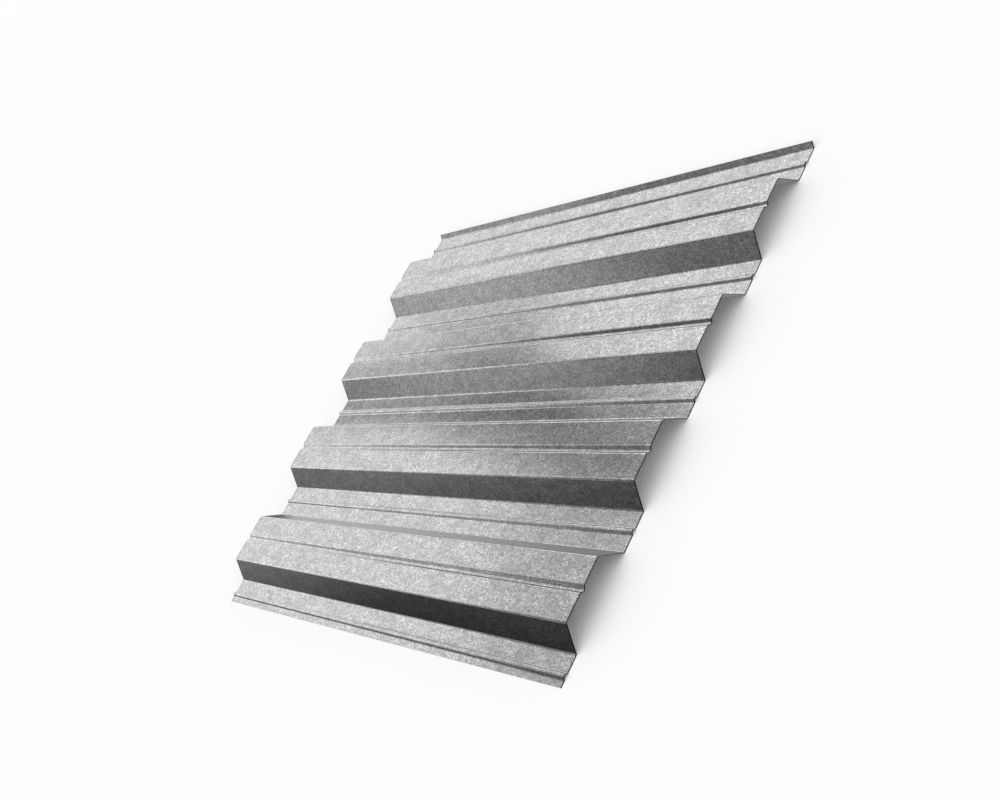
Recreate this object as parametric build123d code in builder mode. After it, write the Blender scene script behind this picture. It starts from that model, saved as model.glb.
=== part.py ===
from build123d import *
from math import atan2, cos, radians, sin, tan
import os

# A trapezoidal profiled sheet, roll-formed from one galvanised coil.
# It lies on the floor with its crests up: length along X, waves across Y.
# The origin is on the floor under the middle of the sheet. Sizes are in mm.

# Sheet and waves
sheet_length = 1230
sheet_thickness = 0.7
wave_count = 4
wave_pitch = 250
profile_height = 44
crest_width = 114
web_run = 31
bend_radius = 5

# Stiffening groove along the middle of each crest
groove_width = 15
groove_floor = 4
groove_depth = 4.6

# Stiffening rib along the middle of each valley
rib_width = 12
rib_top = 5
rib_height = 4.2

# Inside radius of the groove and rib bends
stiffener_radius = 4

# Side edges: a flat flange cut off past its rib, and a lip that starts the next web
edge_margin = 12
lip_length = 14

# Worked out from the sizes above, along the middle of the sheet's thickness
low = sheet_thickness / 2
high = profile_height - sheet_thickness / 2
valley_width = wave_pitch - crest_width - 2 * web_run
flange_width = valley_width / 2 + rib_width / 2 + edge_margin
web_angle = atan2(high - low, web_run)
lip_fold = flange_width + wave_count * wave_pitch
lip_tip = lip_fold + lip_length * cos(web_angle)
sheet_width = lip_tip + low * sin(web_angle)
main_bend = bend_radius + low
stiffener_bend = stiffener_radius + low

# Corners of the section's middle line, each with the radius of its bend
corners = []
bends = []


def add_corner(y, z, radius):
    corners.append(Vector(y - sheet_width / 2, z))
    bends.append(radius)


def add_stiffener(middle, level, foot_width, top_width, rise):
    add_corner(middle - foot_width / 2, level, stiffener_bend)
    add_corner(middle - top_width / 2, level + rise, stiffener_bend)
    add_corner(middle + top_width / 2, level + rise, stiffener_bend)
    add_corner(middle + foot_width / 2, level, stiffener_bend)


def add_rib(web_foot):
    add_stiffener(web_foot - valley_width / 2, low, rib_width, rib_top, rib_height)


def add_wave(web_foot):
    crest_start = web_foot + web_run
    crest_end = crest_start + crest_width
    crest_middle = crest_start + crest_width / 2
    add_corner(web_foot, low, main_bend)
    add_corner(crest_start, high, main_bend)
    add_stiffener(crest_middle, high, groove_width, groove_floor, -groove_depth)
    add_corner(crest_end, high, main_bend)
    add_corner(crest_end + web_run, low, main_bend)


add_corner(0, low, 0)
for wave in range(wave_count):
    wave_start = flange_width + wave * wave_pitch
    add_rib(wave_start)
    add_wave(wave_start)
add_rib(lip_fold)
add_corner(lip_fold, low, main_bend)
add_corner(lip_tip, low + lip_length * sin(web_angle), 0)

# Draws a straight run up to each bend and then the bend's arc, from edge to edge
def draw_middle_line():
    run_start = corners[0]
    for number in range(1, len(corners) - 1):
        corner = corners[number]
        run_in = (corner - corners[number - 1]).normalized()
        run_out = (corners[number + 1] - corner).normalized()
        turn = radians(run_in.get_angle(run_out))
        reach = bends[number] * tan(turn / 2)
        bend_start = corner - run_in * reach
        bend_end = corner + run_out * reach
        Line(run_start, bend_start)
        TangentArc(bend_start, bend_end, tangent=run_in)
        run_start = bend_end
    Line(run_start, corners[-1])


# The whole sheet is one strip of even thickness, drawn out along its length
with BuildPart() as profiled_sheet:
    with BuildSketch(Plane.YZ) as section:
        with BuildLine() as middle_line:
            draw_middle_line()
        trace(line_width=sheet_thickness)
    extrude(amount=sheet_length / 2, both=True)

profiled_sheet.part.label = "profiled_sheet"
os.makedirs("parts", exist_ok=True)
export_step(profiled_sheet.part, "parts/profiled_sheet.step")
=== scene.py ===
import bmesh
import bpy
from math import cos, pi, radians, sin
from mathutils import Matrix, Vector


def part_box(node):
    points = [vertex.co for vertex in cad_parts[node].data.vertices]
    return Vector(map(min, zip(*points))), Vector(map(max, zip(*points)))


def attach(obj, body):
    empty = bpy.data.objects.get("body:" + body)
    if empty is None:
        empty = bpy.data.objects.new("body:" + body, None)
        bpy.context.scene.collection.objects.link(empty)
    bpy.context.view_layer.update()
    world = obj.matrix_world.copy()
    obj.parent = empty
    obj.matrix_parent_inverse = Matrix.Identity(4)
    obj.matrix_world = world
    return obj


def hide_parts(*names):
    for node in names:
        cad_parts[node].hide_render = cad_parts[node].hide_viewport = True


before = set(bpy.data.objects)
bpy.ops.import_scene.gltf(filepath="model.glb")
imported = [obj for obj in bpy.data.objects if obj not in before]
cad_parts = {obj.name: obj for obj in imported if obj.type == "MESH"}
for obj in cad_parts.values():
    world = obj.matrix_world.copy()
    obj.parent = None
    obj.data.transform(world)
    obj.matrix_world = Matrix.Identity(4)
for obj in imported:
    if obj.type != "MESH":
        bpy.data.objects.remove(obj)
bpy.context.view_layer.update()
print("frame loaded")


# A socket of a node tree that takes part in sums like a number
class Wire:
    def __init__(self, graph, socket):
        self.graph = graph
        self.socket = socket

    def maths(self, operation, *values):
        sockets = dict(enumerate((self,) + values))
        return self.graph.add("ShaderNodeMath", {"operation": operation}, sockets)

    def __add__(self, other):
        return self.maths("ADD", other)

    __radd__ = __add__

    def __sub__(self, other):
        return self.maths("SUBTRACT", other)

    def __rsub__(self, other):
        return self.graph.number(other).maths("SUBTRACT", self)

    def __mul__(self, other):
        return self.maths("MULTIPLY", other)

    __rmul__ = __mul__

    def __truediv__(self, other):
        return self.maths("DIVIDE", other)

    def __neg__(self):
        return self.maths("MULTIPLY", -1)

    # 0 below low, 1 above high, and a smooth ramp between them
    def ramp(self, low, high, start=0.0, end=1.0):
        settings = {"interpolation_type": "SMOOTHSTEP"}
        sockets = {"Value": self, "From Min": low, "From Max": high, "To Min": start, "To Max": end}
        return self.graph.add("ShaderNodeMapRange", settings, sockets)


# A node tree that nodes are added to, each in one call: its kind, settings and sockets
class Graph:
    def __init__(self, tree):
        self.tree = tree

    def number(self, value):
        return self.add("ShaderNodeMath", {"operation": "ADD"}, {0: value, 1: 0.0})

    def add(self, kind, settings=None, sockets=None, out=0):
        node = self.tree.nodes.new(kind)
        for name, value in (settings or {}).items():
            if name == "choices":
                for extra in range(value - 2):
                    node.index_switch_items.new()
            else:
                setattr(node, name, value)
        for name, value in (sockets or {}).items():
            socket = node.inputs[name]
            if isinstance(value, Wire):
                self.tree.links.new(value.socket, socket)
            else:
                socket.default_value = value
        return Wire(self, node.outputs[out]) if len(node.outputs) else node

    # another output of the node that a wire comes from
    def other(self, wire, name):
        return Wire(self, wire.socket.node.outputs[name])

    # one number as a grey colour
    def grey(self, tone):
        return self.add("ShaderNodeCombineColor", None, {"Red": tone, "Green": tone, "Blue": tone})


def newMaterial(name):
    material = bpy.data.materials.new(name)
    material.use_nodes = True
    material.node_tree.nodes.clear()
    return material, Graph(material.node_tree)


# Galvanised coat: sizes in metres, tones and contrasts as plain grey values
zincLook = {
    "tone": 0.60,
    "stretch": (1.0, 1.5, 1.5),         # the rolling drew the grain out along the waves
    "crystalSize": 0.0052,
    "crystalContrast": 0.36,
    "fraySize": 1 / 420,
    "frayReach": 0.0016,
    "fleckSize": 0.0034,
    "fleckRange": (0.48, 0.72),
    "fleckContrast": 1.1,
    "fleckMean": 0.12,
    "clusterSize": 0.032,
    "clusterRange": (0.34, 0.60),
    "calmShare": 0.12,
    "mottleSize": 0.009,
    "mottleContrast": 0.52,
    "roughness": 0.11,
    "crystalRoughness": 0.02,
    "mottleRoughness": 0.03,
    "bump": 0.015,
    "bumpHeight": 0.0006,
    # painted shade along both cut ends: its width, soft border and darkness
    "paintedShadeWidth": 0.0022,
    "paintedShadeFade": 0.0004,
    "paintedShadeDark": 0.9,
}


def makeZinc():
    look = zincLook
    material, graph = newMaterial("galvanisedZinc")
    spot = graph.add("ShaderNodeTexCoord", out="Object")
    place = graph.add("ShaderNodeMapping", None, {"Vector": spot, "Scale": look["stretch"]})

    def noise(size, detail, rough, distortion=0.0, shift=(0, 0, 0)):
        moved = graph.add("ShaderNodeMapping", None, {"Vector": place, "Location": shift})
        return graph.add("ShaderNodeTexNoise", {"noise_dimensions": "3D"}, {
            "Vector": moved, "Scale": 1 / size, "Detail": detail,
            "Roughness": rough, "Distortion": distortion})

    # grains of zinc, each with its own shade, their borders frayed by noise
    fray = graph.add("ShaderNodeTexNoise", None, {
        "Vector": place, "Scale": 1 / look["fraySize"], "Detail": 2.0}, out="Color")
    frayed = graph.add("ShaderNodeVectorMath", {"operation": "MULTIPLY_ADD"}, {
        0: fray, 1: (look["frayReach"],) * 3, 2: place})
    crystal = graph.add("ShaderNodeTexVoronoi", None, {
        "Vector": frayed, "Scale": 1 / look["crystalSize"], "Randomness": 1.0}, out="Color")
    crystalShade = graph.add("ShaderNodeSeparateColor", None, {"Color": crystal})

    # white flecks in loose clusters with calm grey between them
    fleck = noise(look["fleckSize"], 2.0, 0.55)
    cluster = noise(look["clusterSize"], 2.0, 0.5, 0.0, (3.1, 1.7, 0.4))
    cover = cluster.ramp(*look["clusterRange"], look["calmShare"], 1.0)
    fleckMask = fleck.ramp(*look["fleckRange"]) * cover
    mottle = noise(look["mottleSize"], 3.0, 0.55, 0.2, (0.7, 5.2, 2.3))

    # painted shade: a dark band along both cut ends of the coat, standing in for the shade at the
    # sheared edge
    low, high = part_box("profiled_sheet")
    paintedShadeStart = high.x - look["paintedShadeWidth"]
    endways = graph.add("ShaderNodeSeparateXYZ", None, {0: spot}, out="X").maths("ABSOLUTE")
    paintedEndShade = endways.ramp(paintedShadeStart, paintedShadeStart + look["paintedShadeFade"])

    shade = 1 + (crystalShade - 0.5) * look["crystalContrast"]
    shade = shade + (mottle - 0.5) * look["mottleContrast"]
    shade = shade + (fleckMask - look["fleckMean"]) * look["fleckContrast"]
    # the tone carries the painted shade band at both ends
    tone = shade * look["tone"] * (1 - paintedEndShade * look["paintedShadeDark"])
    roughness = look["roughness"] + (crystalShade - 0.5) * look["crystalRoughness"]
    roughness = roughness + (mottle - 0.5) * look["mottleRoughness"]
    bump = graph.add("ShaderNodeBump", None, {
        "Strength": look["bump"], "Distance": look["bumpHeight"],
        "Height": fleck * 0.6 + crystalShade * 0.4})
    surface = graph.add("ShaderNodeBsdfPrincipled", None, {
        "Base Color": graph.grey(tone), "Metallic": 1.0, "Roughness": roughness, "Normal": bump})
    graph.add("ShaderNodeOutputMaterial", None, {"Surface": surface})
    return material


# Sheared edge: bare steel with the zinc smeared over part of it, painted near black as the shade on
# the thin cut face
cutLook = {
    # near-black tones: bare steel darkened further as painted shade on the thin cut face
    "dark": 0.01,
    "light": 0.05,
    "smearSize": 0.004,
    "smearRange": (0.35, 0.7),
    "roughness": 0.5,
}


def makeCutEdge():
    look = cutLook
    material, graph = newMaterial("shearedEdge")
    place = graph.add("ShaderNodeTexCoord", out="Object")
    smear = graph.add("ShaderNodeTexNoise", None, {
        "Vector": place, "Scale": 1 / look["smearSize"], "Detail": 3.0})
    # the cut face's tone, painted near black as shade
    tone = smear.ramp(*look["smearRange"], look["dark"], look["light"])
    surface = graph.add("ShaderNodeBsdfPrincipled", None, {
        "Base Color": graph.grey(tone), "Metallic": 1.0, "Roughness": look["roughness"]})
    graph.add("ShaderNodeOutputMaterial", None, {"Surface": surface})
    return material


# The rolled sheet, in metres
sheetSizes = {
    "Thickness": 0.0007,
    "Wave Count": 4,
    "Wave Pitch": 0.250,
    "Profile Height": 0.044,
    "Crest Width": 0.114,
    "Web Run": 0.031,
    "Bend Radius": 0.005,
    "Groove Width": 0.015,
    "Groove Floor": 0.004,
    "Groove Depth": 0.0046,
    "Rib Width": 0.012,
    "Rib Top": 0.005,
    "Rib Height": 0.0042,
    "Stiffener Radius": 0.004,
    "Edge Margin": 0.012,
    "Lip Length": 0.014,
    "Bend Steps": 8,
}


def makeSheetTree():
    tree = bpy.data.node_groups.new("rolledSheet", "GeometryNodeTree")

    def give(name, kind, way="INPUT"):
        tree.interface.new_socket(name, in_out=way, socket_type="NodeSocket" + kind)

    for name in ["Sheet Length", "Edge Place"] + list(sheetSizes):
        give(name, "Int" if isinstance(sheetSizes.get(name), int) else "Float")
    give("Zinc", "Material")
    give("Cut Edge", "Material")
    give("Geometry", "Geometry", "OUTPUT")
    graph = Graph(tree)
    given = graph.add("NodeGroupInput")

    def size(name):
        return graph.other(given, name)

    def choose(index, values):
        sockets = {"Index": index}
        sockets.update({number + 1: value for number, value in enumerate(values)})
        settings = {"data_type": "FLOAT", "choices": len(values)}
        return graph.add("GeometryNodeIndexSwitch", settings, sockets)

    low = size("Thickness") / 2
    high = size("Profile Height") - low
    valley = size("Wave Pitch") - size("Crest Width") - 2 * size("Web Run")
    flange = valley / 2 + size("Rib Width") / 2 + size("Edge Margin")
    crestMiddle = size("Web Run") + size("Crest Width") / 2
    crestEnd = size("Web Run") + size("Crest Width")

    # corners of one wave from its rib to its far foot: place across and level
    ribMiddle = -valley / 2
    ribCorners = [
        (ribMiddle - size("Rib Width") / 2, low),
        (ribMiddle - size("Rib Top") / 2, low + size("Rib Height")),
        (ribMiddle + size("Rib Top") / 2, low + size("Rib Height")),
        (ribMiddle + size("Rib Width") / 2, low),
    ]
    grooveLevel = high - size("Groove Depth")
    grooveCorners = [
        (crestMiddle - size("Groove Width") / 2, high),
        (crestMiddle - size("Groove Floor") / 2, grooveLevel),
        (crestMiddle + size("Groove Floor") / 2, grooveLevel),
        (crestMiddle + size("Groove Width") / 2, high),
    ]
    footStart = (0.0, low)
    headStart = (size("Web Run"), high)
    headEnd = (crestEnd, high)
    footEnd = (crestEnd + size("Web Run"), low)
    waveCorners = ribCorners + [footStart, headStart] + grooveCorners + [headEnd, footEnd]
    mainBend = size("Bend Radius") + low
    smallBend = size("Stiffener Radius") + low
    waveBends = [smallBend] * 4 + [mainBend] * 2 + [smallBend] * 4 + [mainBend] * 2
    perWave = len(waveCorners)

    # the first corner is the flange's cut edge, and after the waves come the last valley's rib
    # and the lip's fold and tip
    extra = 1 + len(ribCorners) + 2
    total = size("Wave Count") * perWave + extra
    index = graph.add("GeometryNodeInputIndex")
    step = index - 1
    wave = (step / perWave).maths("FLOOR")
    slot = step - wave * perWave
    across = flange + wave * size("Wave Pitch") + choose(slot, [y for y, z in waveCorners])
    level = choose(slot, [z for y, z in waveCorners])
    bend = choose(slot, waveBends)

    rise = high - low
    slant = (rise * rise + size("Web Run") * size("Web Run")).maths("SQRT")
    lipShare = size("Lip Length") / slant
    fold = flange + size("Wave Count") * size("Wave Pitch")
    # whole numbers are compared halfway between them
    isFirst = index.maths("LESS_THAN", 0.5)
    isTip = index.maths("GREATER_THAN", total - 1.5)
    isMiddle = 1 - isFirst - isTip
    across = across * isMiddle + (fold + size("Web Run") * lipShare) * isTip
    level = level * isMiddle + low * isFirst + (low + rise * lipShare) * isTip

    place = graph.add("ShaderNodeCombineXYZ", None, {"Y": across + size("Edge Place"), "Z": level})
    points = graph.add("GeometryNodeMeshLine", None, {"Count": total})
    bent = graph.add("GeometryNodeStoreNamedAttribute", None, {
        "Geometry": points, "Name": "bend", "Value": bend})
    moved = graph.add("GeometryNodeSetPosition", None, {"Geometry": bent, "Position": place})
    line = graph.add("GeometryNodeMeshToCurve", None, {"Mesh": moved})
    bendSize = graph.add("GeometryNodeInputNamedAttribute", None, {"Name": "bend"})
    rounded = graph.add("GeometryNodeFilletCurve", {"mode": "POLY"}, {
        "Curve": line, "Count": size("Bend Steps"), "Radius": bendSize, "Limit Radius": True})
    facing = graph.add("GeometryNodeSetCurveNormal", {"mode": "FREE"}, {
        "Curve": rounded, "Normal": (1, 0, 0)})

    # a strip as wide as the sheet is long and as thick as its metal follows that line
    strip = graph.add("GeometryNodeCurvePrimitiveQuadrilateral", {"mode": "RECTANGLE"}, {
        "Width": size("Sheet Length"), "Height": size("Thickness")})
    solid = graph.add("GeometryNodeCurveToMesh", None, {
        "Curve": facing, "Profile Curve": strip, "Fill Caps": True})

    # the two ends of the sheet and the caps of its side edges were sheared, the rest is coated
    normal = graph.add("GeometryNodeInputNormal")
    endways = graph.add("ShaderNodeSeparateXYZ", None, {0: normal}, out="X").maths("ABSOLUTE")
    faces = graph.add("GeometryNodeAttributeDomainSize", {"component": "MESH"}, {
        "Geometry": solid}, out="Face Count")
    isCap = graph.add("GeometryNodeInputIndex").maths("GREATER_THAN", faces - 2.5)
    isCut = endways.maths("GREATER_THAN", 0.5).maths("MAXIMUM", isCap)
    smooth = graph.add("GeometryNodeSetShadeSmooth", None, {"Geometry": solid, "Shade Smooth": True})
    whole = graph.add("GeometryNodeRealizeInstances", None, {"Geometry": smooth})
    coated = graph.add("GeometryNodeSetMaterial", None, {"Geometry": whole, "Material": size("Zinc")})
    cut = graph.add("GeometryNodeSetMaterial", None, {
        "Geometry": coated, "Selection": isCut, "Material": size("Cut Edge")})
    graph.add("NodeGroupOutput", None, {0: cut})
    return tree


def makeSheet(zinc, cutEdge):
    low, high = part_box("profiled_sheet")
    tree = makeSheetTree()
    holder = bpy.data.objects.new("sheetSource", bpy.data.meshes.new("sheetSource"))
    bpy.context.scene.collection.objects.link(holder)
    modifier = holder.modifiers.new("rolledSheet", "NODES")
    modifier.node_group = tree
    values = dict(sheetSizes)
    values.update({"Sheet Length": high.x - low.x, "Edge Place": low.y})
    values.update({"Zinc": zinc, "Cut Edge": cutEdge})
    for item in tree.interface.items_tree:
        if item.in_out == "INPUT":
            modifier[item.identifier] = values[item.name]
    bpy.context.view_layer.update()
    seen = holder.evaluated_get(bpy.context.evaluated_depsgraph_get())
    mesh = bpy.data.meshes.new_from_object(seen)
    mesh.name = "profiledSheet"
    bpy.data.objects.remove(holder)
    sheet = bpy.data.objects.new("profiledSheet", mesh)
    bpy.context.scene.collection.objects.link(sheet)

    # crisp edges where the faces turn at a cut, flat panels and round bends elsewhere
    weldGap = 1e-6
    sharpTurn = radians(40)
    work = bmesh.new()
    work.from_mesh(mesh)
    bmesh.ops.remove_doubles(work, verts=work.verts, dist=weldGap)
    bmesh.ops.recalc_face_normals(work, faces=work.faces)
    for edge in work.edges:
        edge.smooth = len(edge.link_faces) == 2 and edge.calc_face_angle() < sharpTurn
    work.to_mesh(mesh)
    work.free()
    weighted = sheet.modifiers.new("flatPanels", "WEIGHTED_NORMAL")
    weighted.keep_sharp = True
    weighted.weight = 100
    sheet.visible_glossy = False    # it mirrors the studio, not its own webs
    print("sheet made:", len(mesh.vertices), "vertices,", len(mesh.polygons), "faces")
    return sheet


# Camera as the photograph was taken: metres and degrees
cameraLook = {
    "place": (2.0783, -0.8410, 1.1586),
    "aim": (0.0795, -0.0110, 0.0200),
    "roll": -50.98,
    "lens": 44.56,
    "sensor": 36.0,
}


def makeCamera():
    look = cameraLook
    data = bpy.data.cameras.new("camera")
    data.lens = look["lens"]
    data.sensor_width = look["sensor"]
    camera = bpy.data.objects.new("camera", data)
    bpy.context.scene.collection.objects.link(camera)
    place = Vector(look["place"])
    turn = (Vector(look["aim"]) - place).to_track_quat("-Z", "Y").to_matrix().to_4x4()
    roll = Matrix.Rotation(radians(look["roll"]), 4, "Z")
    camera.matrix_world = Matrix.Translation(place) @ turn @ roll
    bpy.context.scene.camera = camera
    print("camera set")


# Pale floor and plain white light from all round
studioLook = {"floorSize": 120.0, "floorTone": 0.99, "worldTone": 1.0}


def makeStudio():
    look = studioLook
    half = look["floorSize"] / 2
    mesh = bpy.data.meshes.new("floor")
    corners = [(-half, -half, 0), (half, -half, 0), (half, half, 0), (-half, half, 0)]
    mesh.from_pydata(corners, [], [(0, 1, 2, 3)])
    floor = bpy.data.objects.new("floor", mesh)
    bpy.context.scene.collection.objects.link(floor)
    material, graph = newMaterial("paleFloor")
    tone = look["floorTone"]
    surface = graph.add("ShaderNodeBsdfDiffuse", None, {"Color": (tone, tone, tone, 1)})
    graph.add("ShaderNodeOutputMaterial", None, {"Surface": surface})
    mesh.materials.append(material)
    floor.visible_glossy = False

    world = bpy.data.worlds.new("studio")
    world.use_nodes = True
    world.node_tree.nodes.clear()
    graph = Graph(world.node_tree)
    tone = look["worldTone"]
    light = graph.add("ShaderNodeBackground", None, {
        "Color": (tone, tone, tone, 1), "Strength": 1.0})
    graph.add("ShaderNodeOutputWorld", None, {"Surface": light})
    bpy.context.scene.world = world
    bpy.context.scene.view_settings.view_transform = "Standard"
    print("floor and light made")


# What the bright metal mirrors: white all round, dimmed by soft dark cards. A card lies at an
# angle round the sheet's length, from 0 on the far side over 90 overhead to 180 on the near
# side, and at a place along it, from -1 to 1. Its half sizes and soft border count in units of
# that angle and place, and a card with a dark below 0 is a lamp. Each pair after the cards is
# where a soft change starts and ends, or the light at those two places
surroundLook = {
    "radius": 14.0,
    "angleUnit": 10.0,
    "alongUnit": 0.07,
    "cards": {
        "farHigh": dict(angle=56.9, along=-0.759, turn=76, half=(1.23, 0.47), soft=0.21, dark=0.50),
        "farLow": dict(angle=51.1, along=-0.846, turn=10, half=(0.27, 0.88), soft=0.06, dark=0.42),
        "farEnd": dict(angle=54.9, along=-0.850, turn=0, half=(0.10, 1.15), soft=0.05, dark=0.86),
        "farFoot": dict(angle=46.0, along=-0.812, turn=3, half=(0.06, 0.56), soft=0.03, dark=0.80),
        "corner": dict(angle=70.6, along=-0.767, turn=-4, half=(1.55, 0.60), soft=0.47, dark=0.37),
        "overhead": dict(angle=110, along=-0.620, turn=0, half=(2.70, 2.50), soft=0.60, dark=0.56),
        "tube": dict(angle=116, along=-0.930, turn=0, half=(1.90, 0.80), soft=0.30, dark=-0.28),
        "nearHigh": dict(angle=147.3, along=-0.628, turn=40, half=(3.7, 1.92), soft=0.86, dark=0.68),
        "nearEnd": dict(angle=164, along=-0.905, turn=0, half=(1.30, 0.35), soft=0.40, dark=0.38),
        "nearEdge": dict(angle=144, along=-0.855, turn=0, half=(0.60, 0.50), soft=0.20, dark=0.32),
        "nearLow": dict(angle=179.8, along=-0.765, turn=13, half=(1.5, 1.76), soft=0.89, dark=0.82),
        "horizon": dict(angle=182, along=0, turn=0, half=(3.4, 30.0), soft=1.6, dark=0.55),
    },
    "horizonFade": (-0.05, 0.03),
    "belowNear": 0.035,
    "belowSides": (-0.10, 0.10),
    "belowFar": (0.85, 0.22),
    "belowFarRamp": (-0.92, -0.85),
    "deepFar": (0.5, 0.27),
    "deepFarRamp": (-0.90, -0.75),
    "deepFade": (-0.28, -0.18),
    "notch": 0.2,                       # darker again at the very end of the far webs
    "notchRamp": (-0.918, -0.912),
    "plain": (0.72, 0.95),              # the rest of the studio, below and above
    "plainRamp": (-0.60, -0.50),
    "plainFade": (-0.10, 0.10),
    "plainLow": 0.5,                    # and how much of it is left near the horizon
    "plainRise": (0.20, 0.65),
}


def makeSurround():
    look = surroundLook
    bpy.ops.mesh.primitive_ico_sphere_add(subdivisions=4, radius=look["radius"])
    surround = bpy.context.object
    surround.name = "surround"
    material, graph = newMaterial("surroundLight")
    place = graph.add("ShaderNodeTexCoord", out="Object")
    toward = graph.add("ShaderNodeVectorMath", {"operation": "NORMALIZE"}, {0: place})
    x = graph.add("ShaderNodeSeparateXYZ", None, {0: toward}, out="X")
    y = graph.other(x, "Y")
    z = graph.other(x, "Z")
    angle = 90 + (-y).maths("ARCTAN2", z) * (180 / pi)

    light = graph.number(1.0)
    for card in look["cards"].values():
        over = (angle - card["angle"]) / look["angleUnit"]
        side = (x - card["along"]) / look["alongUnit"]
        turn = radians(card["turn"])
        across = (over * cos(turn) + side * sin(turn)).maths("ABSOLUTE")
        along = (side * cos(turn) - over * sin(turn)).maths("ABSOLUTE")
        soft = card["soft"]
        cover = across.ramp(card["half"][0] - soft, card["half"][0] + soft, 1.0, 0.0)
        cover = cover * along.ramp(card["half"][1] - soft, card["half"][1] + soft, 1.0, 0.0)
        light = light * (1 - cover * card["dark"])

    # below the horizon the near side is dark and the far side shades off along the sheet
    low = x.ramp(*look["belowFarRamp"], *look["belowFar"])
    deep = x.ramp(*look["deepFarRamp"], *look["deepFar"])
    deep = deep * x.ramp(*look["notchRamp"], look["notch"], 1.0)
    far = deep + (low - deep) * z.ramp(*look["deepFade"])
    below = y.ramp(*look["belowSides"], look["belowNear"]) * far
    above = z.ramp(*look["horizonFade"])
    light = light * above + (1 - above) * below

    # the other sides of the studio are plain
    plain = x.ramp(*look["plainRamp"])
    studio = z.ramp(*look["plainFade"], *look["plain"])
    studio = studio * z.ramp(*look["plainRise"], look["plainLow"], 1.0)
    light = light * (1 - plain) + plain * studio
    shine = graph.add("ShaderNodeEmission", None, {"Color": (1, 1, 1, 1), "Strength": light})
    graph.add("ShaderNodeOutputMaterial", None, {"Surface": shine})
    surround.data.materials.append(material)

    # only mirrors see it
    surround.visible_camera = False
    surround.visible_diffuse = False
    surround.visible_transmission = False
    surround.visible_volume_scatter = False
    surround.visible_shadow = False
    print("surround made")


makeCamera()
makeStudio()
makeSurround()
sheet = makeSheet(makeZinc(), makeCutEdge())
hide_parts("profiled_sheet")
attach(sheet, "root")
print("scene ready")
